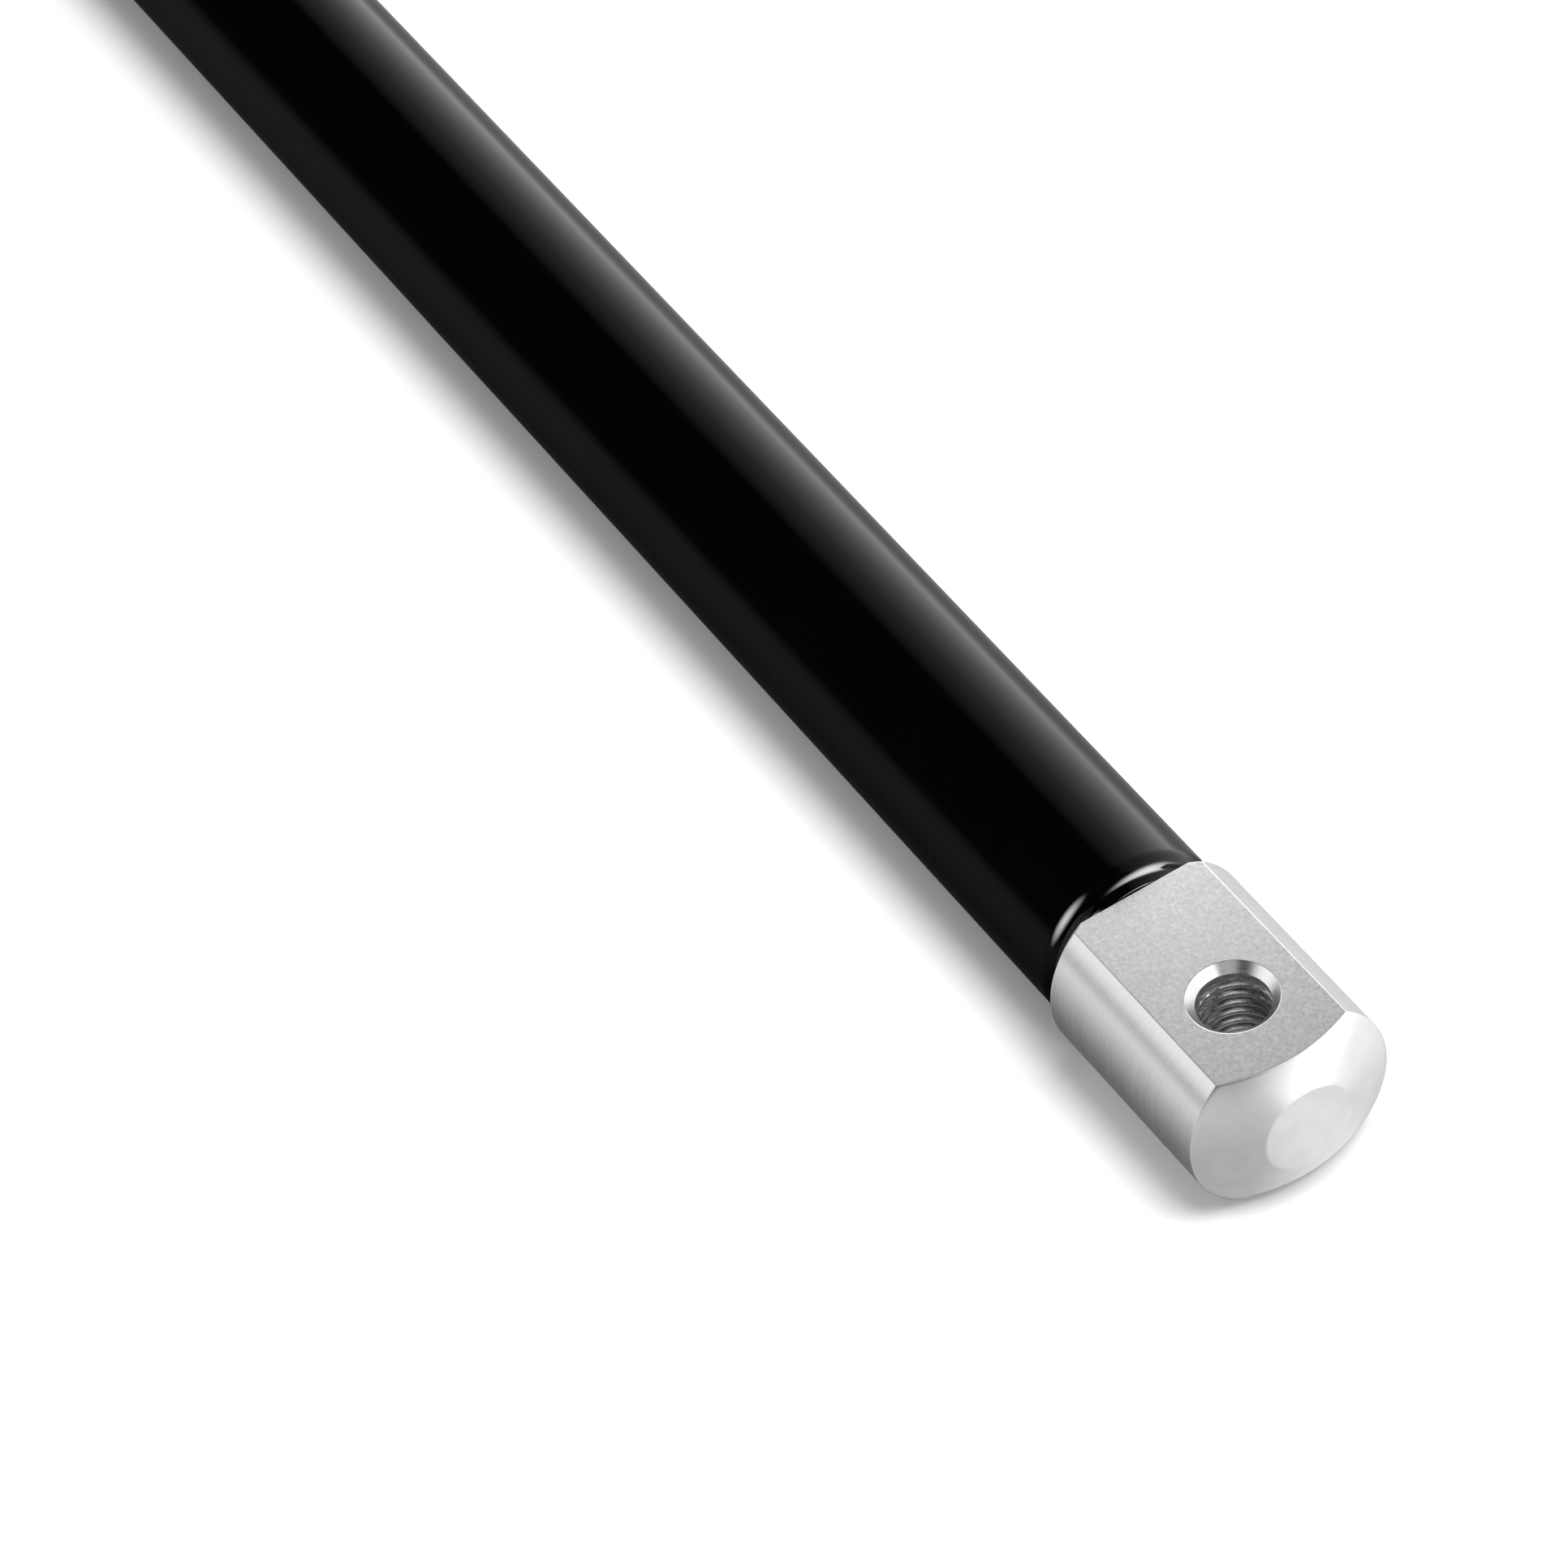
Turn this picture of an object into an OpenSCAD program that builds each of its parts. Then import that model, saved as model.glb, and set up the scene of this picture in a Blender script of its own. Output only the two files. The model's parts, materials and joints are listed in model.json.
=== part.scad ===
// Stabilizer bar: a straight coated tube with a machined aluminium head in each end.
// A spigot on each head sits in the tube, and the tube's end is necked down into the groove behind the head.
// Each head has two parallel flats and a tapped cross hole, so that a bracket can be bolted on.
// Millimetres. +X runs along the bar, +Z is up and square to the flats.
// The origin is on the surface that the tube lies on, under the middle of the bar.

/* [Bar] */
// Overall length of the bar, from nose to nose
bar_length = 500; // [330:5:1200]
// Outer diameter of the tube
tube_d = 28; // [27:0.5:30]
// Wall thickness of the tube
tube_wall = 2; // [1.5:0.1:2.5]
// How far each tube end is necked down, on the radius
neck_drop = 2; // [1:0.1:2.2]
// Outer radius of the shoulder where the necking starts
shoulder_r = 2.6; // [2.6:0.1:3.2]
// Outer radius of the fillet where the necking ends
fillet_r = 1.4; // [1:0.1:2]
// Length of the straight lip at the very end
lip_length = 0.2; // [0.1:0.1:1]
// Gap left between the tube end and the back face of the head
tube_gap = 0.2; // [0.1:0.1:1]

/* [Head] */
// Diameter of the head
head_d = 31; // [30:0.5:34]
// Length of the straight part of the head, from its back face to the nose
head_length = 34.6; // [30:0.2:45]
// Distance between the two flats
across_flats = 23.4; // [20:0.2:26]
// Chamfer on the back edge of the head
back_chamfer = 1; // [0.2:0.1:1.5]
// Length of the nose in front of the straight part
nose_length = 4.7; // [3:0.1:6]
// Diameter of the flat disc at the tip of the nose
nose_disc_d = 13.1; // [8:0.1:18]
// Radius of the slight bulge of the nose's flank
nose_bulge_r = 58; // [40:1:200]

/* [Cross hole] */
// Distance from the nose edge back to the axis of the hole
hole_setback = 11.3; // [9:0.1:16]
// Core diameter of the M12 x 1.75 thread
thread_core_d = 10.2; // [8.4:0.1:12]
// Outer diameter of the countersink at each flat
countersink_d = 12.7; // [12.2:0.1:15]

/* [Spigot and seal] */
// Length of neck and spigot behind the head
spigot_length = 30; // [22:1:40]
// Chamfer that leads the spigot into the tube
spigot_chamfer = 1.5; // [0.5:0.1:2]
// Distance from the back face of the head to the middle of the seal groove
groove_setback = 10; // [9:0.5:14]
// Section diameter of the seal ring
seal_section_d = 1.8; // [1.2:0.1:2]
// Width of the groove that holds the seal ring
groove_width = 2.4; // [2:0.1:3]
// Play between the spigot's shoulder and the necked tube, along the bar
shoulder_play = 0.1; // [0.1:0.05:0.3]

/* [Hidden] */
$fn = 96;
eps = 0.01;

tube_r = tube_d / 2;
bore_r = tube_r - tube_wall;
head_r = head_d / 2;
nose_disc_r = nose_disc_d / 2;
thread_r = thread_core_d / 2;
countersink_r = countersink_d / 2;
// Sides at 45 degrees, so the depth is the difference of the radii
countersink_depth = countersink_r - thread_r;
flat_h = across_flats / 2;
axis_z = tube_r;

// Where the straight part of each head ends and its nose begins, from the middle of the bar
nose_edge_x = bar_length / 2 - nose_length;
back_face_x = nose_edge_x - head_length;
tube_half = back_face_x - tube_gap;

// The necked end is two arcs, the shoulder's and the fillet's, that meet at the steepest angle.
// Both centres are the same for the outside and the bore, so the wall keeps its thickness.
neck_turn = acos(1 - neck_drop / (shoulder_r + fillet_r));
neck_start = tube_half - lip_length - (shoulder_r + fillet_r) * sin(neck_turn);
shoulder_centre = [tube_r - shoulder_r, neck_start];
fillet_centre = shoulder_centre + (shoulder_r + fillet_r) * [cos(neck_turn), sin(neck_turn)];
neck_r = bore_r - neck_drop;
arc_steps = 12;

seal_r = seal_section_d / 2;
groove_floor_r = bore_r - seal_section_d;

// Centre of the arc through the nose edge and the rim of the nose disc, as [radius, height]
chord = [nose_disc_r - head_r, nose_length];
chord_length = norm(chord);
arc_reach = sqrt(nose_bulge_r * nose_bulge_r - chord_length * chord_length / 4);
arc_centre = [
    head_r + chord[0] / 2 - arc_reach * chord[1] / chord_length,
    nose_length / 2 + arc_reach * chord[0] / chord_length
];

// Places the children, drawn along +Z from the nose edge, at one end of the bar
module at_end(side) {
    translate([side * nose_edge_x, 0, axis_z])
        rotate([0, side * 90, 0])
            children();
}

// Half section of the nose: a nearly straight cone with a small flat tip
module nose_section() {
    intersection() {
        square([head_r, nose_length]);
        translate(arc_centre) circle(nose_bulge_r, $fn = 720);
    }
}

// Half section of the straight part, chamfered at the back
module straight_section() {
    polygon([
        [0, -head_length],
        [head_r - back_chamfer, -head_length],
        [head_r, back_chamfer - head_length],
        [head_r, 0],
        [0, 0]
    ]);
}

// Half section of the neck behind the head and the spigot that sits in the tube
module spigot_section() {
    spigot_end = -head_length - spigot_length;
    spigot_shoulder = neck_start - nose_edge_x - shoulder_play;
    difference() {
        polygon([
            [0, spigot_end],
            [bore_r - spigot_chamfer, spigot_end],
            [bore_r, spigot_end + spigot_chamfer],
            [bore_r, spigot_shoulder],
            [neck_r, spigot_shoulder + neck_drop],
            [neck_r, -head_length],
            [0, -head_length]
        ]);
        translate([groove_floor_r, -head_length - groove_setback - groove_width / 2])
            square([seal_section_d + eps, groove_width]);
    }
}

// Through hole at the thread's core diameter, with a countersink at each flat
module cross_hole() {
    translate([0, 0, -hole_setback])
        rotate([0, 90, 0]) {
            cylinder(r = thread_r, h = head_d, center = true);
            for (side = [0, 180])
                rotate([side, 0, 0])
                    translate([0, 0, flat_h - countersink_depth])
                        cylinder(
                            r1 = thread_r,
                            r2 = countersink_r + eps,
                            h = countersink_depth + eps
                        );
        }
}

// Head turned from aluminium bar, with its flats milled and its cross hole tapped
module head() {
    difference() {
        union() {
            intersection() {
                rotate_extrude() {
                    straight_section();
                    nose_section();
                }
                translate([-flat_h, -head_r, -head_length])
                    cube([across_flats, head_d, head_length + nose_length]);
            }
            rotate_extrude() spigot_section();
        }
        cross_hole();
    }
}

// Rubber ring in the spigot's groove, which keeps water out of the tube
module seal_ring() {
    translate([0, 0, -head_length - groove_setback])
        rotate_extrude()
            translate([groove_floor_r + seal_r, 0])
                circle(seal_r);
}

// Points along an arc, from one angle to another
function arc_points(centre, r, from, to) = [
    for (i = [0 : arc_steps])
        let (angle = from + (to - from) * i / arc_steps)
            centre + r * [cos(angle), sin(angle)]
];

// The necked end of the tube's outline, up to its tip, moved in by inset
function necked_end(inset) = concat(
    arc_points(shoulder_centre, shoulder_r - inset, 0, neck_turn),
    arc_points(fillet_centre, fillet_r + inset, 180 + neck_turn, 180),
    [[tube_r - neck_drop - inset, tube_half]]
);

function reversed(points) = [for (i = [len(points) - 1 : -1 : 0]) points[i]];

function mirrored(points) = [for (p = points) [p[0], -p[1]]];

// One side of the tube's wall, from its rear tip to its front tip, moved in by inset
function wall_line(inset) = concat(reversed(mirrored(necked_end(inset))), necked_end(inset));

module bar_tube() {
    color([0.02, 0.02, 0.02])
        translate([0, 0, axis_z])
            rotate([0, 90, 0])
                rotate_extrude()
                    polygon(concat(wall_line(0), reversed(wall_line(tube_wall))));
}

module front_head() {
    color([0.82, 0.82, 0.83]) at_end(1) head();
}

module rear_head() {
    color([0.82, 0.82, 0.83]) at_end(-1) head();
}

module front_seal() {
    color([0.1, 0.1, 0.1]) at_end(1) seal_ring();
}

module rear_seal() {
    color([0.1, 0.1, 0.1]) at_end(-1) seal_ring();
}

bar_tube();
front_head();
rear_head();
front_seal();
rear_seal();
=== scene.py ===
"""Looks of the stabilizer bar: a gloss black tube with a turned and milled aluminium head in each end."""
import json
import math

import bmesh
import bpy
from mathutils import Matrix, Quaternion, Vector, noise

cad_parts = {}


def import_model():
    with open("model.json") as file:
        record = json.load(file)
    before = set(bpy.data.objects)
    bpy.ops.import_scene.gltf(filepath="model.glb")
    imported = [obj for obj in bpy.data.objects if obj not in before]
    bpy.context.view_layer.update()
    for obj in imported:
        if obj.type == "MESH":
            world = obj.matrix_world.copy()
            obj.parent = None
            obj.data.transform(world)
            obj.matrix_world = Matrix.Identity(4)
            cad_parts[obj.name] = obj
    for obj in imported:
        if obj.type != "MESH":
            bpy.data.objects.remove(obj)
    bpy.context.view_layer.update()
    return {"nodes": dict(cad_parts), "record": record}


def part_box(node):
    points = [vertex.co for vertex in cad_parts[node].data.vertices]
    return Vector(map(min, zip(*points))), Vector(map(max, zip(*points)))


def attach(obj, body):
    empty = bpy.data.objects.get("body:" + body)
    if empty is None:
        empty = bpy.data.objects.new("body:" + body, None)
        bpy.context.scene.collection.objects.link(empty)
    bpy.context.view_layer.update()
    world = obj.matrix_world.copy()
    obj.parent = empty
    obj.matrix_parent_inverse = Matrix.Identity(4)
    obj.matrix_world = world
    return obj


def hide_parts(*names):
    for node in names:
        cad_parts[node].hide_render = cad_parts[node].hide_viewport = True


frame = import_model()

MM = 0.001

# --- Sizes in metres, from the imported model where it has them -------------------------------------

MOUNTS = {m["name"]: m for m in frame["record"]["mounts"]}
TUBE_LOW, TUBE_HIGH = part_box("bar_tube")
HEAD_LOW, HEAD_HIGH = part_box("front_head")

AXIS_Z = (TUBE_LOW.z + TUBE_HIGH.z) / 2
TUBE_R = (TUBE_HIGH.z - TUBE_LOW.z) / 2
TUBE_HALF = TUBE_HIGH.x
TUBE_WALL = 2 * MM
NECK_DROP = 2 * MM
SHOULDER_R = 2.6 * MM
FILLET_R = 1.4 * MM
LIP_LENGTH = 0.2 * MM
LIP_EDGE_R = 0.3 * MM
NECK_TURN = math.acos(1 - NECK_DROP / (SHOULDER_R + FILLET_R))
NECK_START_X = TUBE_HALF - LIP_LENGTH - (SHOULDER_R + FILLET_R) * math.sin(NECK_TURN)

HEAD_R = (HEAD_HIGH.y - HEAD_LOW.y) / 2
TIP_X = HEAD_HIGH.x
SPIGOT_END_X = HEAD_LOW.x
FLAT_H = MOUNTS["front_top_flat"]["pos_m"][2] - AXIS_Z
NOSE_LENGTH = 4.7 * MM
HEAD_LENGTH = 34.6 * MM
NOSE_EDGE_X = TIP_X - NOSE_LENGTH
BACK_X = NOSE_EDGE_X - HEAD_LENGTH
NOSE_DISC_R = 6.55 * MM
NOSE_BULGE_R = 58 * MM
BACK_CHAMFER = 1 * MM
BACK_R = HEAD_R - BACK_CHAMFER
EDGE_BEVEL = 0.17 * MM

BORE_R = TUBE_R - TUBE_WALL
SPIGOT_PLAY = 0.02 * MM
SPIGOT_R = BORE_R - SPIGOT_PLAY
NECK_R = SPIGOT_R - NECK_DROP
SPIGOT_CHAMFER = 1.5 * MM
SHOULDER_PLAY = 0.1 * MM
GROOVE_SETBACK = 10 * MM
GROOVE_WIDTH = 2.4 * MM
GROOVE_DEPTH = 1.8 * MM

HOLE_X = MOUNTS["front_thread"]["pos_m"][0]
THREAD_R = MOUNTS["front_thread"]["dims"]["r_mm"] * MM
THREAD_LENGTH = MOUNTS["front_thread"]["dims"]["length_mm"] * MM
THREAD_PITCH = 1.75 * MM
THREAD_DEPTH = 0.9 * MM
COUNTERSINK_DEPTH = FLAT_H - THREAD_LENGTH / 2
COUNTERSINK_ANGLE = math.radians(45)
COUNTERSINK_R = THREAD_R + COUNTERSINK_DEPTH * math.tan(COUNTERSINK_ANGLE)
RIM_BEVEL = 0.06 * MM

TUBE_SEGMENTS = 256
ARC_STEPS = 14
HOLE_SEGMENTS = 128
NOSE_ROWS = 18
SAME_PLACE = 0.001 * MM
SAME_ANGLE = 1e-9


# --- Mesh helpers ---------------------------------------------------------------------------------

def spaced(start, end, steps):
    """steps + 1 evenly spaced values from start to end."""
    return [start + (end - start) * i / steps for i in range(steps + 1)]


def arc(centre, radius, start, end, steps=ARC_STEPS):
    """Points (x, r) on an arc, with its angles in degrees."""
    angles = [math.radians(a) for a in spaced(start, end, steps)]
    return [(centre[0] + radius * math.cos(a), centre[1] + radius * math.sin(a)) for a in angles]


def round_point(x, r, angle):
    """The point at distance r from the bar's axis, at an angle from +Y towards +Z."""
    return Vector((x, r * math.cos(angle), AXIS_Z + r * math.sin(angle)))


def patch(bm, rows, region):
    """Adds a grid of faces through rows of points. Shared borders are merged later."""
    made = [[bm.verts.new(p) for p in row] for row in rows]
    for row, following in zip(made, made[1:]):
        for a, b, c, d in zip(row, row[1:], following[1:], following):
            face = bm.faces.new((a, b, c, d))
            face.material_index = region


def polygon(bm, points, region):
    """Adds one flat face."""
    face = bm.faces.new([bm.verts.new(p) for p in points])
    face.material_index = region


def merge(bm):
    """Joins the borders of patches, and drops the faces that this folds to nothing."""
    bmesh.ops.remove_doubles(bm, verts=bm.verts, dist=0.0005 * MM)
    bmesh.ops.dissolve_degenerate(bm, edges=bm.edges, dist=0.0001 * MM)


def fix_order(bm):
    """Sorts points by place, then edges and faces by their points. Bevels leave another order each run."""
    rank = {v: i for i, v in enumerate(sorted(bm.verts, key=lambda v: tuple(v.co)))}
    bm.verts.sort(key=rank.get)
    bm.verts.index_update()
    for elements in (bm.edges, bm.faces):
        ordered = sorted(elements, key=lambda e: sorted(v.index for v in e.verts))
        rank = {e: i for i, e in enumerate(ordered)}
        elements.sort(key=rank.get)


CRISP_ANGLE = 10


def finished_piece(bm, name, materials, sharp_angle, crisp=()):
    """Turns the mesh into a smooth-shaded object with sharp creases, also slight ones at crisp regions."""
    fix_order(bm)
    bmesh.ops.recalc_face_normals(bm, faces=bm.faces)
    for face in bm.faces:
        face.smooth = True
    for edge in bm.edges:
        if len(edge.link_faces) == 2:
            is_crisp = any(face.material_index in crisp for face in edge.link_faces)
            limit = CRISP_ANGLE if is_crisp else sharp_angle
            edge.smooth = edge.calc_face_angle() < math.radians(limit)
    mesh = bpy.data.meshes.new(name)
    bm.to_mesh(mesh)
    bm.free()
    for material in materials:
        mesh.materials.append(material)
    piece = bpy.data.objects.new(name, mesh)
    bpy.context.scene.collection.objects.link(piece)
    weighted = piece.modifiers.new("weighted_normals", "WEIGHTED_NORMAL")
    weighted.keep_sharp = True
    return piece


# --- Materials ------------------------------------------------------------------------------------

class Nodes:
    """A material's node tree, with short ways to add and join nodes."""

    def __init__(self, name):
        self.material = bpy.data.materials.new(name)
        self.material.use_nodes = True
        self.tree = self.material.node_tree
        self.tree.nodes.clear()
        output = self.tree.nodes.new("ShaderNodeOutputMaterial")
        self.shader = self.tree.nodes.new("ShaderNodeBsdfPrincipled")
        self.join(self.shader.outputs["BSDF"], output.inputs["Surface"])
        self.place = self.tree.nodes.new("ShaderNodeTexCoord").outputs["Object"]

    def join(self, source, target):
        self.tree.links.new(source, target)

    def set(self, **values):
        """Constant values on the shader's own sockets, with _ for a space in a name."""
        for name, value in values.items():
            self.shader.inputs[name.replace("_", " ")].default_value = value

    def stretched(self, scale, turn=(0, 0, 0)):
        """The object's coordinates, turned and then scaled along each axis."""
        node = self.tree.nodes.new("ShaderNodeMapping")
        node.vector_type = "TEXTURE"
        node.inputs["Scale"].default_value = [1 / s for s in scale]
        node.inputs["Rotation"].default_value = turn
        self.join(self.place, node.inputs["Vector"])
        return node.outputs["Vector"]

    def noise(self, vector, detail=2.0, roughness=0.5, distortion=0.0):
        """Noise with cells as large as one unit of the vector."""
        node = self.tree.nodes.new("ShaderNodeTexNoise")
        node.inputs["Scale"].default_value = 1
        node.inputs["Detail"].default_value = detail
        node.inputs["Roughness"].default_value = roughness
        node.inputs["Distortion"].default_value = distortion
        self.join(vector, node.inputs["Vector"])
        return node.outputs["Fac"]

    def remap(self, value, low, high, new_low, new_high):
        node = self.tree.nodes.new("ShaderNodeMapRange")
        node.inputs["From Min"].default_value = low
        node.inputs["From Max"].default_value = high
        node.inputs["To Min"].default_value = new_low
        node.inputs["To Max"].default_value = new_high
        self.join(value, node.inputs["Value"])
        return node.outputs["Result"]

    def maths(self, operation, a, b):
        node = self.tree.nodes.new("ShaderNodeMath")
        node.operation = operation
        self.join(a, node.inputs[0])
        self.join(b, node.inputs[1])
        return node.outputs["Value"]

    def shade(self, value, low, high, dark, light, blue=0.005):
        """Base colour: a grey from dark to light as value goes from low to high, with a touch of blue."""
        node = self.tree.nodes.new("ShaderNodeMix")
        node.data_type = "RGBA"
        node.inputs["A"].default_value = (dark, dark, dark + blue, 1)
        node.inputs["B"].default_value = (light, light, light + blue, 1)
        self.join(self.remap(value, low, high, 0, 1), node.inputs["Factor"])
        self.join(node.outputs["Result"], self.shader.inputs["Base Color"])

    def roughness(self, value, low, high, smoothest, roughest):
        self.join(self.remap(value, low, high, smoothest, roughest), self.shader.inputs["Roughness"])

    def bump(self, height, distance):
        node = self.tree.nodes.new("ShaderNodeBump")
        node.inputs["Distance"].default_value = distance
        self.join(height, node.inputs["Height"])
        self.join(node.outputs["Normal"], self.shader.inputs["Normal"])

    def around_axis(self):
        """Gives the shader a tangent that runs round the bar, from which its anisotropy is measured."""
        node = self.tree.nodes.new("ShaderNodeTangent")
        node.direction_type = "RADIAL"
        node.axis = "X"
        self.join(node.outputs["Tangent"], self.shader.inputs["Tangent"])


def black_coat():
    """Gloss black coating, with faint orange peel, and dust that dulls it here and there."""
    m = Nodes("black_coat")
    m.set(Base_Color=(0.0005, 0.0005, 0.0005, 1), IOR=1.5)
    dull = m.noise(m.stretched((60, 60, 60)), detail=4, roughness=0.6)
    m.roughness(dull, 0.35, 0.75, 0.085, 0.125)
    peel = m.noise(m.stretched((260, 420, 420)), detail=1.5)
    m.bump(peel, 0.0015 * MM)
    return m.material


def milled_flat():
    """Satin milled face: mottled, with fine scratches that run in all directions."""
    m = Nodes("milled_flat")
    m.set(Metallic=1.0)
    mottle = m.noise(m.stretched((1700, 1700, 1700)), detail=4, roughness=0.65)
    grain = m.noise(m.stretched((5200, 5200, 5200)), detail=2, roughness=0.6)
    scratches = [
        m.noise(m.stretched((6000, 700, 700), turn=(0, 0, math.radians(turn))), detail=2, distortion=0.4)
        for turn in (12, 58, 101, 143)
    ]
    lines = m.maths("MAXIMUM", m.maths("MAXIMUM", *scratches[:2]), m.maths("MAXIMUM", *scratches[2:]))
    tone = m.maths("ADD", mottle, m.remap(lines, 0.56, 0.72, 0, 0.18))
    m.shade(tone, 0.36, 0.76, 0.64, 0.9)
    m.roughness(mottle, 0.3, 0.7, 0.53, 0.61)
    m.bump(m.maths("ADD", lines, grain), 0.012 * MM)
    return m.material


def turned_side():
    """Turned outside of the head: fine tool marks round the axis, which spread the light along it."""
    m = Nodes("turned_side")
    m.set(Metallic=1.0, Anisotropic=0.85, Anisotropic_Rotation=0.25)
    marks = m.noise(m.stretched((5200, 90, 90)), detail=3, roughness=0.7)
    m.shade(marks, 0.3, 0.7, 0.8, 0.97)
    m.roughness(marks, 0.3, 0.7, 0.28, 0.36)
    m.bump(marks, 0.003 * MM)
    m.around_axis()
    return m.material


def turned_nose():
    """Turned nose: smooth satin with very fine rings."""
    m = Nodes("turned_nose")
    m.set(Metallic=1.0)
    cloud = m.noise(m.stretched((300, 300, 300)), detail=3)
    marks = m.noise(m.stretched((6000, 200, 200)), detail=2)
    m.shade(cloud, 0.35, 0.65, 0.88, 0.93)
    m.roughness(cloud, 0.3, 0.7, 0.28, 0.31)
    m.bump(marks, 0.001 * MM)
    return m.material


def bright_edge():
    """Narrow deburred edges, smoother than the faces that they join."""
    m = Nodes("bright_edge")
    m.set(Metallic=1.0)
    nicks = m.noise(m.stretched((1500, 1500, 1500)), detail=3)
    m.shade(nicks, 0.35, 0.65, 0.93, 0.97)
    m.roughness(nicks, 0.3, 0.7, 0.36, 0.42)
    return m.material


def turned_sink():
    """Countersinks: clean and bright, with very fine rings round the hole."""
    m = Nodes("turned_sink")
    m.set(Metallic=1.0)
    rings = m.noise(m.stretched((200, 200, 5000)), detail=2)
    m.shade(rings, 0.35, 0.65, 0.92, 0.96)
    m.roughness(rings, 0.3, 0.7, 0.26, 0.32)
    return m.material


def cut_thread():
    """Tapped thread: torn and burnished in patches, its colour from dark to bright at random."""
    m = Nodes("cut_thread")
    m.set(Metallic=1.0)
    torn = m.noise(m.stretched((420, 420, 5200)), detail=5, roughness=0.75)
    m.shade(torn, 0.4, 0.6, 0.4, 0.99, blue=0)
    m.roughness(torn, 0.3, 0.7, 0.16, 0.4)
    m.bump(torn, 0.05 * MM)
    return m.material


def seal_rubber():
    """Matt black rubber with a fine moulded grain."""
    m = Nodes("seal_rubber")
    grain = m.noise(m.stretched((1800, 1800, 1800)), detail=3)
    m.shade(grain, 0, 1, 0.02, 0.035, blue=0)
    m.roughness(grain, 0.3, 0.7, 0.55, 0.75)
    m.bump(grain, 0.01 * MM)
    return m.material


# --- Tube -----------------------------------------------------------------------------------------

def necked_end(inset):
    """The tube's outline where it is necked down, moved in by inset, as (x, r) up to the straight lip."""
    turn = math.degrees(NECK_TURN)
    shoulder = arc((NECK_START_X, TUBE_R - SHOULDER_R), SHOULDER_R - inset, 90, 90 - turn)
    fillet_centre = (TUBE_HALF - LIP_LENGTH, TUBE_R - NECK_DROP + FILLET_R)
    return shoulder + arc(fillet_centre, FILLET_R + inset, 270 - turn, 270)[1:]


def lip_end():
    """The rounded tip of the lip, from its outside to the bore."""
    tip_x = TUBE_HALF - LIP_EDGE_R
    outer_r = TUBE_R - NECK_DROP
    inner_r = outer_r - TUBE_WALL
    return (arc((tip_x, outer_r - LIP_EDGE_R), LIP_EDGE_R, 90, 0, 5)
            + arc((tip_x, inner_r + LIP_EDGE_R), LIP_EDGE_R, 0, -90, 5))


def tube_piece():
    """The whole tube, turned round the axis from one closed outline."""
    outside = necked_end(0)[:-1]
    inside = necked_end(TUBE_WALL)[:-1]
    half = outside + lip_end() + inside[::-1]
    mirrored = [(-x, r) for x, r in reversed(half)]
    outline = half + mirrored
    outline.append(outline[0])
    bm = bmesh.new()
    angles = spaced(0, 2 * math.pi, TUBE_SEGMENTS)
    patch(bm, [[round_point(x, r, a) for x, r in outline] for a in angles], 0)
    merge(bm)
    return finished_piece(bm, "coated_tube", [black_coat()], sharp_angle=40)


# --- Head -----------------------------------------------------------------------------------------

# Regions of the head's faces
FLAT, SIDE, NOSE, DISC, EDGE, SINK, THREAD, HIDDEN = range(8)


def nose_x(r):
    """X of the nose's slightly bulged flank at radius r, on the arc from the nose edge to the disc's rim."""
    across = NOSE_DISC_R - HEAD_R
    chord = math.hypot(across, NOSE_LENGTH)
    reach = math.sqrt(NOSE_BULGE_R ** 2 - chord ** 2 / 4)
    centre_r = HEAD_R + across / 2 - reach * NOSE_LENGTH / chord
    centre_x = NOSE_EDGE_X + NOSE_LENGTH / 2 + reach * across / chord
    return centre_x + math.sqrt(NOSE_BULGE_R ** 2 - (r - centre_r) ** 2)


def within_flats(r, angle):
    """r, cut down to where a ray at this angle meets a flat."""
    rise = abs(math.sin(angle))
    return min(r, FLAT_H / rise) if rise > SAME_ANGLE else r


def column_angles():
    """Angles of the head's columns, with some just where the flats cut the side and the back face."""
    side_end = math.asin(FLAT_H / HEAD_R)
    back_end = math.asin(FLAT_H / BACK_R)
    quarter = spaced(0, side_end, 44) + spaced(side_end, back_end, 5)[1:]
    quarter += spaced(back_end, math.pi / 2, 30)[1:]
    half = quarter + [math.pi - a for a in reversed(quarter[:-1])]
    return half + [math.pi + a for a in half[1:]], side_end, back_end


def is_on_side(angle, limit):
    """True if the angle is no further than limit from +Y or -Y."""
    return abs(math.sin(angle)) <= math.sin(limit) + SAME_ANGLE


def nose_column(angle):
    start = within_flats(HEAD_R, angle)
    return [round_point(nose_x(r), r, angle) for r in spaced(start, NOSE_DISC_R, NOSE_ROWS)]


def chamfer_column(angle):
    """The two ends of the back chamfer at this angle."""
    start = within_flats(HEAD_R, angle)
    return [round_point(BACK_X + start - BACK_R, start, angle), round_point(BACK_X, BACK_R, angle)]


def head_shell(bm):
    """Nose, disc, side, chamfer and back face."""
    angles, side_end, back_end = column_angles()
    side_ends = (NOSE_EDGE_X, BACK_X + BACK_CHAMFER)
    patch(bm, [nose_column(a) for a in angles], NOSE)
    polygon(bm, [nose_column(a)[-1] for a in angles[:-1]], DISC)
    for a, b in zip(angles, angles[1:]):
        if is_on_side(a, side_end) and is_on_side(b, side_end):
            patch(bm, [[round_point(x, HEAD_R, t) for x in side_ends] for t in (a, b)], SIDE)
        if is_on_side(a, back_end) and is_on_side(b, back_end):
            patch(bm, [chamfer_column(t) for t in (a, b)], SIDE)
        back_face = [[round_point(BACK_X, r, t) for r in (within_flats(BACK_R, t), NECK_R)] for t in (a, b)]
        patch(bm, back_face, HIDDEN)


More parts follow.
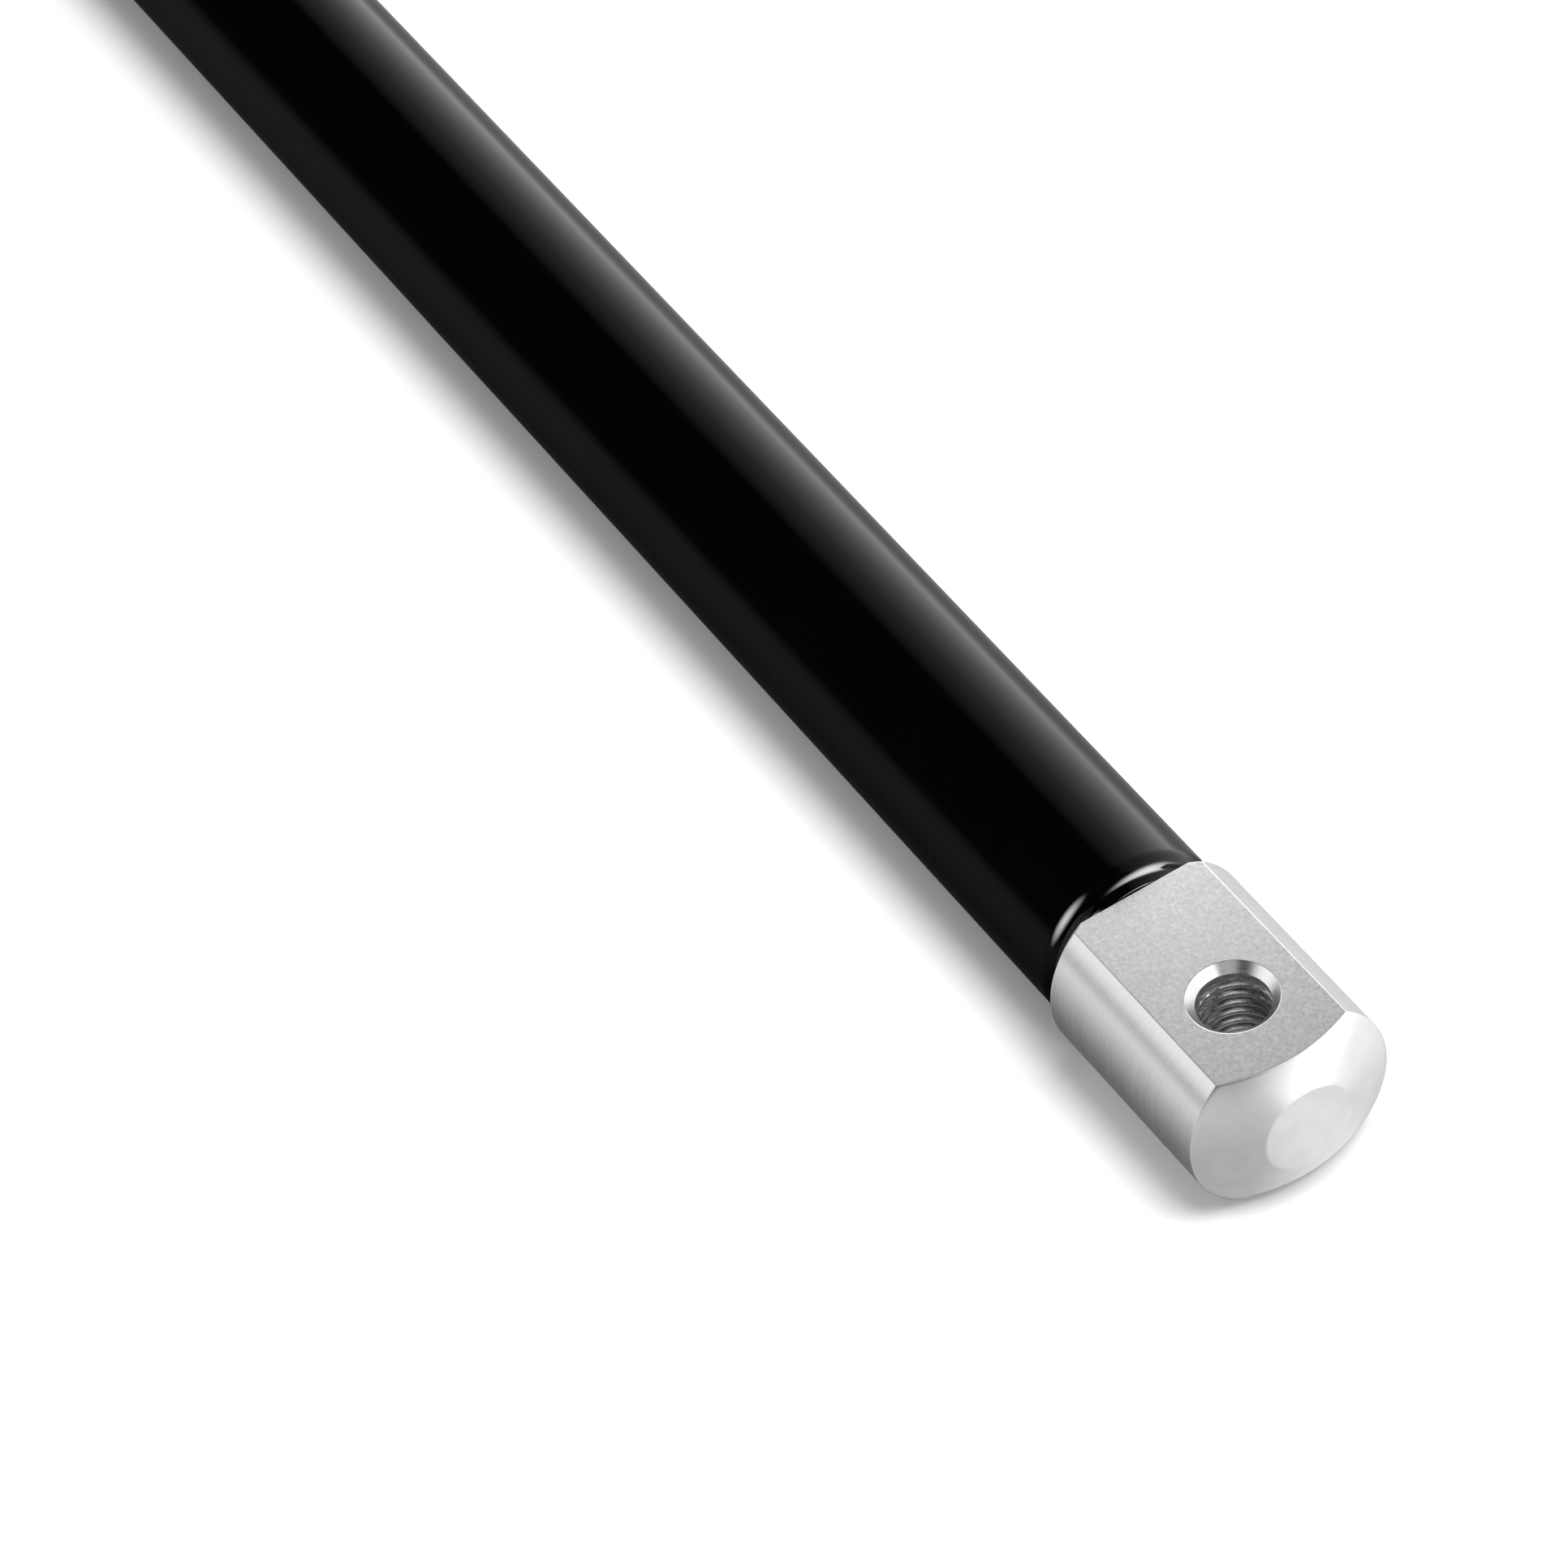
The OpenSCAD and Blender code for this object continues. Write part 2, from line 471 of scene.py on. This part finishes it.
def back_edge_point(angle):
    """Where a flat ends at the back: on the chamfer, or on the back face."""
    r = within_flats(HEAD_R, angle)
    return round_point(BACK_X + max(0, r - BACK_R), r, angle)


def whole_flats(bm):
    """Both flats, before the hole is cut out of them."""
    angles, side_end, _ = column_angles()
    for start in (side_end, math.pi + side_end):
        end = start + math.pi - 2 * side_end
        over = [a for a in angles if start - SAME_ANGLE <= a <= end + SAME_ANGLE]
        nose_edge = [nose_column(a)[0] for a in over]
        polygon(bm, nose_edge + [back_edge_point(a) for a in reversed(over)], FLAT)


def spigot_outline():
    """(x, r) from the back face along the neck and the spigot to its end."""
    shoulder_x = NECK_START_X - SHOULDER_PLAY
    groove_x = BACK_X - GROOVE_SETBACK
    return [
        (BACK_X, NECK_R),
        (shoulder_x + NECK_DROP, NECK_R),
        (shoulder_x, SPIGOT_R),
        (groove_x + GROOVE_WIDTH / 2, SPIGOT_R),
        (groove_x + GROOVE_WIDTH / 2, SPIGOT_R - GROOVE_DEPTH),
        (groove_x - GROOVE_WIDTH / 2, SPIGOT_R - GROOVE_DEPTH),
        (groove_x - GROOVE_WIDTH / 2, SPIGOT_R),
        (SPIGOT_END_X + SPIGOT_CHAMFER, SPIGOT_R),
        (SPIGOT_END_X, SPIGOT_R - SPIGOT_CHAMFER),
    ]


def spigot(bm):
    """The neck and the grooved spigot, which the tube hides."""
    angles = column_angles()[0]
    outline = spigot_outline()
    patch(bm, [[round_point(x, r, a) for x, r in outline] for a in angles], HIDDEN)
    polygon(bm, [round_point(*outline[-1], a) for a in angles[:-1]], HIDDEN)


CHAMFER_CREASE = math.radians(20)


def round_edges(bm):
    """A small bevel on every edge that parts two regions, except round the nose disc."""
    kept = {FLAT, SIDE, NOSE, HIDDEN}
    edges = []
    for edge in bm.edges:
        regions = {f.material_index for f in edge.link_faces}
        at_back = all(abs(v.co.x - BACK_X) < SAME_PLACE for v in edge.verts)
        chamfered = regions == {SIDE} and edge.calc_face_angle(0) > CHAMFER_CREASE
        if (len(regions) == 2 and regions <= kept and (HIDDEN not in regions or at_back)) or chamfered:
            edges.append(edge)
    verts = {v for e in edges for v in e.verts}
    bmesh.ops.bevel(bm, geom=[*verts, *edges], offset=EDGE_BEVEL, offset_type="OFFSET", segments=3,
                    profile=0.5, affect="EDGES", clamp_overlap=True, material=EDGE)


# The thread's groove along one pitch: (place in pitches, share of its full depth)
THREAD_FORM = ((0, 0), (0.25, 0), (0.29, 0.04), (0.56, 0.97), (0.6, 1), (0.69, 1), (0.73, 0.97),
               (0.96, 0.04), (1, 0))
THREAD_KNOTS = (0, 0.125, 0.25, 0.29, 0.42, 0.56, 0.6, 0.69, 0.73, 0.85, 0.96)
FADE_START = 0.15
TORN_TURNS = 3.5
TORN_DEPTH = 0.1 * MM
TEARS_ROUND = 9
TEARS_PER_MM = 1.7


def thread_height(turns):
    """Depth of the thread's groove, from 0 to 1, at a place along one pitch."""
    place = turns % 1.0
    for (a, low), (b, high) in zip(THREAD_FORM, THREAD_FORM[1:]):
        if place <= b:
            break
    return low + (high - low) * (place - a) / (b - a)


def faded(depth, start, length):
    """0 before start, 1 after start + length, smooth between."""
    t = min(1, max(0, (depth - start) / length))
    return t * t * (3 - 2 * t)


def torn_surface(spot, depth):
    """How far the tap tore the thread here. Only the turns near the top are torn."""
    seed = Vector((spot.x * TEARS_ROUND, spot.y * TEARS_ROUND, depth / MM * TEARS_PER_MM))
    reach = max(0, 1 - depth / (TORN_TURNS * THREAD_PITCH))
    return reach * TORN_DEPTH * (noise.noise(seed) + noise.noise(seed * 2.3) * 0.6)


def thread_point(turn, place):
    """A point of the tapped bore at a share of a turn, where place counts pitches along the helix."""
    depth = min(THREAD_LENGTH, max(0, (place + turn) * THREAD_PITCH))
    angle = 2 * math.pi * turn
    spot = Vector((math.cos(angle), math.sin(angle), 0))
    start = FADE_START * THREAD_PITCH
    fade = faded(depth, start, THREAD_PITCH) * faded(THREAD_LENGTH - depth, start, THREAD_PITCH)
    cut = thread_height(place) * THREAD_DEPTH
    r = THREAD_R + fade * max(0, cut + torn_surface(spot, depth))
    return Vector((HOLE_X, 0, AXIS_Z)) + spot * r + Vector((0, 0, THREAD_LENGTH / 2 - depth))


def hole_point(turn, r, z):
    angle = 2 * math.pi * turn
    return Vector((HOLE_X + r * math.cos(angle), r * math.sin(angle), AXIS_Z + z))


def tapped_hole(bm):
    """Thread and both countersinks. The thread's rows follow the helix and are clamped at its ends."""
    turns = spaced(0, 1, HOLE_SEGMENTS)
    pitches = math.ceil(THREAD_LENGTH / THREAD_PITCH) + 1
    places = [whole + knot for whole in range(-1, pitches) for knot in THREAD_KNOTS]
    patch(bm, [[thread_point(t, place) for place in places] for t in turns], THREAD)
    rim_drop = RIM_BEVEL * math.tan(COUNTERSINK_ANGLE / 2)
    rings = [
        (COUNTERSINK_R + RIM_BEVEL, FLAT_H),
        (COUNTERSINK_R - rim_drop, FLAT_H - rim_drop),
        (COUNTERSINK_R - COUNTERSINK_DEPTH / 2, FLAT_H - COUNTERSINK_DEPTH / 2),
        (THREAD_R, THREAD_LENGTH / 2),
    ]
    for side in (1, -1):
        patch(bm, [[hole_point(t, r, side * z) for r, z in rings] for t in turns], SINK)


def cut_flats(bm):
    """Replaces each flat by one with the hole's rim cut out of it."""
    bmesh.ops.delete(bm, geom=[f for f in bm.faces if f.material_index == FLAT], context="FACES_ONLY")
    for side in (1, -1):
        z = AXIS_Z + side * FLAT_H
        level = [e for e in bm.edges if all(abs(v.co.z - z) < SAME_PLACE for v in e.verts)]
        border = [e for e in level if e.is_boundary]
        filled = bmesh.ops.triangle_fill(bm, edges=border, use_beauty=True, normal=(0, 0, side))
        for item in filled["geom"]:
            if isinstance(item, bmesh.types.BMFace):
                item.material_index = FLAT


def head_materials():
    """The head's materials, in the order of its regions."""
    side, nose = turned_side(), turned_nose()
    chosen = {FLAT: milled_flat(), SIDE: side, NOSE: nose, DISC: nose, EDGE: bright_edge(),
              SINK: turned_sink(), THREAD: cut_thread(), HIDDEN: side}
    return [chosen[region] for region in sorted(chosen)]


def head_piece(name, materials):
    """A whole head. The hole comes after the edges are rounded, because its rim has its own bevel."""
    bm = bmesh.new()
    head_shell(bm)
    whole_flats(bm)
    spigot(bm)
    merge(bm)
    bmesh.ops.recalc_face_normals(bm, faces=bm.faces)
    round_edges(bm)
    tapped_hole(bm)
    merge(bm)
    cut_flats(bm)
    merge(bm)
    return finished_piece(bm, name, materials, sharp_angle=35, crisp=(SINK,))


# --- Making and placing the pieces ----------------------------------------------------------------

def place(piece, slot, node):
    """The piece rides on the only body, and stands for a CAD node."""
    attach(piece, "root")
    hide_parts(node)


def make_pieces():
    """Makes all pieces, and returns the tube and the two heads."""
    tube = tube_piece()
    place(tube, "black_coat", "bar_tube")
    metals = head_materials()
    front = head_piece("front_end_head", metals)
    rear = head_piece("rear_end_head", metals)
    rear.data.transform(Matrix.Rotation(math.pi, 4, "Z"))
    place(front, "machined_aluminium", "front_head")
    place(rear, "machined_aluminium", "rear_head")
    rubber = seal_rubber()
    for name in ("front_seal", "rear_seal"):
        seal = frame["nodes"][name]
        seal.data.materials.clear()
        seal.data.materials.append(rubber)
    return tube, (front, rear)


# --- Studio ---------------------------------------------------------------------------------------

def aimed(azimuth, elevation):
    """A direction in degrees, with its azimuth measured from +X towards +Y."""
    turn, rise = math.radians(azimuth), math.radians(elevation)
    return Vector((math.cos(rise) * math.cos(turn), math.cos(rise) * math.sin(turn), math.sin(rise)))


TO_CAMERA = aimed(-22.845, 46.29)
CAMERA_ROLL = math.radians(11.85)
CAMERA_LENS = 158.39
CAMERA_DISTANCE = 953.24 * MM
AIM = Vector((NOSE_EDGE_X - 91.51 * MM, -22.15 * MM, AXIS_Z))
FLOOR_SIZE = 12.0


def camera():
    """The photo's camera. Its fit to the photo rolls it, because the bar itself lies level."""
    data = bpy.data.cameras.new("camera")
    data.lens = CAMERA_LENS
    data.sensor_width = 36
    data.clip_start = 0.01
    data.clip_end = 50
    cam = bpy.data.objects.new("camera", data)
    bpy.context.scene.collection.objects.link(cam)
    cam.location = AIM + TO_CAMERA * CAMERA_DISTANCE
    cam.rotation_mode = "QUATERNION"
    level = (-TO_CAMERA).to_track_quat("-Z", "Y")
    cam.rotation_quaternion = level @ Quaternion((0, 0, 1), -CAMERA_ROLL)
    bpy.context.scene.camera = cam


def floor():
    """A plain pale floor. Glossy surfaces don't see it: the world and the floor cards stand in for it."""
    bm = bmesh.new()
    bmesh.ops.create_grid(bm, x_segments=1, y_segments=1, size=FLOOR_SIZE / 2)
    mesh = bpy.data.meshes.new("floor")
    bm.to_mesh(mesh)
    bm.free()
    plane = bpy.data.objects.new("floor", mesh)
    bpy.context.scene.collection.objects.link(plane)
    m = Nodes("floor_paper")
    m.set(Base_Color=(0.9, 0.9, 0.9, 1), Roughness=0.9)
    mesh.materials.append(m.material)
    plane.visible_glossy = False
    plane.visible_shadow = False


def soft_box(name, aim, direction, distance, size, radiance, diffuse=True, glossy=True, only=()):
    """A rectangular area light that looks at aim from a direction. It may light only some pieces."""
    data = bpy.data.lights.new(name, "AREA")
    data.shape = "RECTANGLE"
    data.size, data.size_y = size
    data.energy = radiance * math.pi * size[0] * size[1]
    light = bpy.data.objects.new(name, data)
    bpy.context.scene.collection.objects.link(light)
    direction = Vector(direction).normalized()
    light.location = Vector(aim) + direction * distance
    light.rotation_mode = "QUATERNION"
    light.rotation_quaternion = direction.to_track_quat("Z", "Y")
    light.visible_camera = False
    light.visible_diffuse = diffuse
    light.visible_glossy = glossy
    if only:
        lit = bpy.data.collections.new(name + "_lights")
        for piece in only:
            lit.objects.link(piece)
        light.light_linking.receiver_collection = lit
    return light


# Brightness by the height of a direction, -1 to 1, as a glossy surface sees the studio beyond its panels
DIM_STUDIO = ((-1, 0.015), (-0.65, 0.03), (-0.25, 0.115), (-0.05, 0.12), (0.04, 0.07), (0.12, 0.01),
              (0.25, 0))
AMBIENT = 0.66

# The right wall gives the tube its long highlight: (height in metres, brightness)
RIGHT_WALL = ((-1.6, 0.3), (-0.69, 0.24), (-0.45, 0.3), (-0.28, 0.5), (-0.06, 1.5), (0.28, 1.15),
              (0.47, 0.95), (0.67, 0.74), (0.89, 0.58), (1.44, 0.31), (2.4, 0.17), (4.6, 0.02))
RIGHT_WALL_CENTRE = (-2, 1.2, 0)
RIGHT_WALL_SIZE = (8, 10)

# The floor across the bar, as the heads see it: (y in metres, brightness)
FLOOR_BESIDE = ((-0.5, 0.72), (-0.13, 0.66), (-0.06, 0.42), (-0.035, 0.26), (-0.02, 0.1),
                (-0.014, 0.1), (0.014, 0.6), (0.5, 0.66))
FLOOR_IN_FRONT = ((-0.5, 0.6), (-0.06, 0.5), (-0.02, 0.39), (-0.008, 0.42), (0.003, 0.78),
                  (0.01, 0.78), (0.018, 0.66), (0.032, 0.84), (0.5, 0.8))
CARD_SIZE = 1.0
CARD_LIFT = 0.5 * MM

BOX_DISTANCE = 0.8


def mirrored_by_head(angle):
    """What the photo's camera sees mirrored where the head's surface faces this way, from +Y towards +Z."""
    turn = math.radians(angle)
    return (-TO_CAMERA).reflect(Vector((0, math.cos(turn), math.sin(turn))))


def set_stops(ramp, stops):
    """Gives a colour ramp these grey stops: (position, value)."""
    elements = ramp.color_ramp.elements
    for element, (position, value) in zip(list(elements), (stops[0], stops[-1])):
        element.position = position
        element.color = (value, value, value, 1)
    for position, value in stops[1:-1]:
        elements.new(position).color = (value, value, value, 1)


def world():
    """White to the camera and to matt surfaces; to glossy ones, a dim studio."""
    made = bpy.data.worlds.new("studio")
    bpy.context.scene.world = made
    made.use_nodes = True
    tree = made.node_tree
    background = tree.nodes["Background"]
    background.inputs["Color"].default_value = (1, 1, 1, 1)
    background.inputs["Strength"].default_value = AMBIENT
    axes = tree.nodes.new("ShaderNodeSeparateXYZ")
    tree.links.new(tree.nodes.new("ShaderNodeTexCoord").outputs["Generated"], axes.inputs["Vector"])
    height = tree.nodes.new("ShaderNodeMapRange")
    height.inputs["From Min"].default_value = -1
    tree.links.new(axes.outputs["Z"], height.inputs["Value"])
    ramp = tree.nodes.new("ShaderNodeValToRGB")
    set_stops(ramp, [((z + 1) / 2, value) for z, value in DIM_STUDIO])
    tree.links.new(height.outputs["Result"], ramp.inputs["Fac"])
    seen = tree.nodes.new("ShaderNodeBackground")
    tree.links.new(ramp.outputs["Color"], seen.inputs["Color"])
    choice = tree.nodes.new("ShaderNodeMixShader")
    tree.links.new(tree.nodes.new("ShaderNodeLightPath").outputs["Is Glossy Ray"], choice.inputs["Fac"])
    tree.links.new(background.outputs["Background"], choice.inputs[1])
    tree.links.new(seen.outputs["Background"], choice.inputs[2])
    tree.links.new(choice.outputs["Shader"], tree.nodes["World Output"].inputs["Surface"])


def graded(light, stops, size):
    """Grades an area light along its own Y, by stops of (metres from its centre, brightness)."""
    light.data.use_nodes = True
    tree = light.data.node_tree
    axes = tree.nodes.new("ShaderNodeSeparateXYZ")
    tree.links.new(tree.nodes.new("ShaderNodeNewGeometry").outputs["Parametric"], axes.inputs["Vector"])
    brightest = max(value for _, value in stops)
    ramp = tree.nodes.new("ShaderNodeValToRGB")
    set_stops(ramp, [(place / size + 0.5, value / brightest) for place, value in stops])
    tree.links.new(axes.outputs["Y"], ramp.inputs["Fac"])
    tree.links.new(ramp.outputs["Color"], tree.nodes["Emission"].inputs["Color"])
    light.data.energy *= brightest


def softened(light):
    """Fades an area light's brightness from its centre out to nothing at its edge."""
    light.data.use_nodes = True
    tree = light.data.node_tree
    centred = tree.nodes.new("ShaderNodeVectorMath")
    centred.operation = "SUBTRACT"
    centred.inputs[1].default_value = (0.5, 0.5, 0)
    tree.links.new(tree.nodes.new("ShaderNodeNewGeometry").outputs["Parametric"], centred.inputs[0])
    distance = tree.nodes.new("ShaderNodeVectorMath")
    distance.operation = "LENGTH"
    tree.links.new(centred.outputs["Vector"], distance.inputs[0])
    fade = tree.nodes.new("ShaderNodeMapRange")
    fade.interpolation_type = "SMOOTHSTEP"
    for name, value in (("From Max", 0.5), ("To Min", 1), ("To Max", 0)):
        fade.inputs[name].default_value = value
    tree.links.new(distance.outputs["Value"], fade.inputs["Value"])
    tree.links.new(fade.outputs["Result"], tree.nodes["Emission"].inputs["Strength"])


def reflected(name, aim, direction, distance, size, radiance, pieces):
    """A panel that only these pieces see, and only in their gloss."""
    return soft_box(name, aim, direction, distance, size, radiance, diffuse=False, only=pieces)


def floor_card(name, centre_x, stops, heads):
    """A card on the floor that only the heads see. It stands for the floor, with the bar's shadow on it."""
    centre = (centre_x, 0, CARD_LIFT)
    card = reflected(name, centre, (0, 0, -1), 0, (CARD_SIZE, CARD_SIZE), 1, heads)
    card.rotation_quaternion = Quaternion((1, 0, 0), math.pi)
    graded(card, [(-y, value) for y, value in reversed(stops)], CARD_SIZE)


def right_wall(tube):
    """A tall wall of light along the bar's right side, which only the tube sees."""
    panel = reflected("right_wall", RIGHT_WALL_CENTRE, (0, 1, 0), 0, RIGHT_WALL_SIZE, 1, [tube])
    panel.rotation_quaternion = Quaternion((1, 0, 0), -math.pi / 2)
    graded(panel, [(-z, value) for z, value in reversed(RIGHT_WALL)], RIGHT_WALL_SIZE[1])


def tube_lights(tube, head):
    """The long highlight, and the two soft spots in the neck behind the head."""
    right_wall(tube)
    left_box = reflected("left_box", head, aimed(-90, 32), BOX_DISTANCE, (0.95, 1.1), 14, [tube])
    front_box = reflected("front_box", head, aimed(33, 11), BOX_DISTANCE, (1.05, 0.85), 18, [tube])
    softened(left_box)
    softened(front_box)


def nose_lights(heads, head):
    """A wide soft box low in front, and the floor that the nose mirrors."""
    front_low = reflected("front_low", head, aimed(38, 0), BOX_DISTANCE, (2.5, 0.5), 1.25, heads)
    softened(front_low)
    floor_card("floor_in_front", NOSE_EDGE_X + CARD_SIZE / 2, FLOOR_IN_FRONT, heads)


def side_lights(heads, head):
    """The bright band beside the flat, the dark gap below it, the floor under that, and the right edge."""
    reflected("left_of_head", head, aimed(-120, 24), BOX_DISTANCE, (1.1, 0.36), 1.1, heads)
    reflected("left_sweep", head, mirrored_by_head(144.4), 0.6, (0.8, 0.07), 0.75, heads)
    reflected("right_back", head, mirrored_by_head(69.5), 0.5, (0.5, 0.24), 1.8, heads)
    floor_card("floor_beside", NOSE_EDGE_X - CARD_SIZE / 2, FLOOR_BESIDE, heads)


def flat_lights(heads, head):
    """A wide dim box, and a small one near the back corner, from which the flat darkens towards the nose."""
    reflected("over_flat", head, aimed(171.1, 48.3), BOX_DISTANCE, (0.9, 0.9), 0.08, heads)
    back_corner = Vector((BACK_X, 8 * MM, AXIS_Z + FLAT_H))
    reflected("behind_flat", back_corner, mirrored_by_head(90), 0.06, (0.05, 0.05), 1.2, heads)


def hole_lights(heads, head):
    """What the countersink mirrors all round, and a lamp for the upper flanks of the thread."""
    reflected("front_top", head, aimed(28, 34), BOX_DISTANCE, (0.6, 0.5), 1.7, heads)
    reflected("near_camera", head, aimed(-31, 42), BOX_DISTANCE, (0.4, 0.4), 0.42, heads)
    reflected("right_of_head", head, aimed(79.9, 15.6), BOX_DISTANCE, (0.9, 0.5), 1.1, heads)
    hole = Vector((HOLE_X, 0, AXIS_Z))
    reflected("into_hole", hole, aimed(-45, 73.4), 0.5, (0.2, 0.2), 1.5, heads)


def studio(tube, heads):
    """A white floor under one soft overhead light, and panels that each piece sees in its own gloss."""
    bpy.context.scene.view_settings.view_transform = "Standard"
    world()
    floor()
    head = Vector((NOSE_EDGE_X, 0, AXIS_Z))
    soft_box("overhead", (0.1, 0, 0), aimed(20.4, 68.1), 2.0, (0.9, 1.2), 11, glossy=False)
    tube_lights(tube, head)
    nose_lights(heads, head)
    side_lights(heads, head)
    flat_lights(heads, head)
    hole_lights(heads, head)


bar_tube, bar_heads = make_pieces()
camera()
studio(bar_tube, bar_heads)
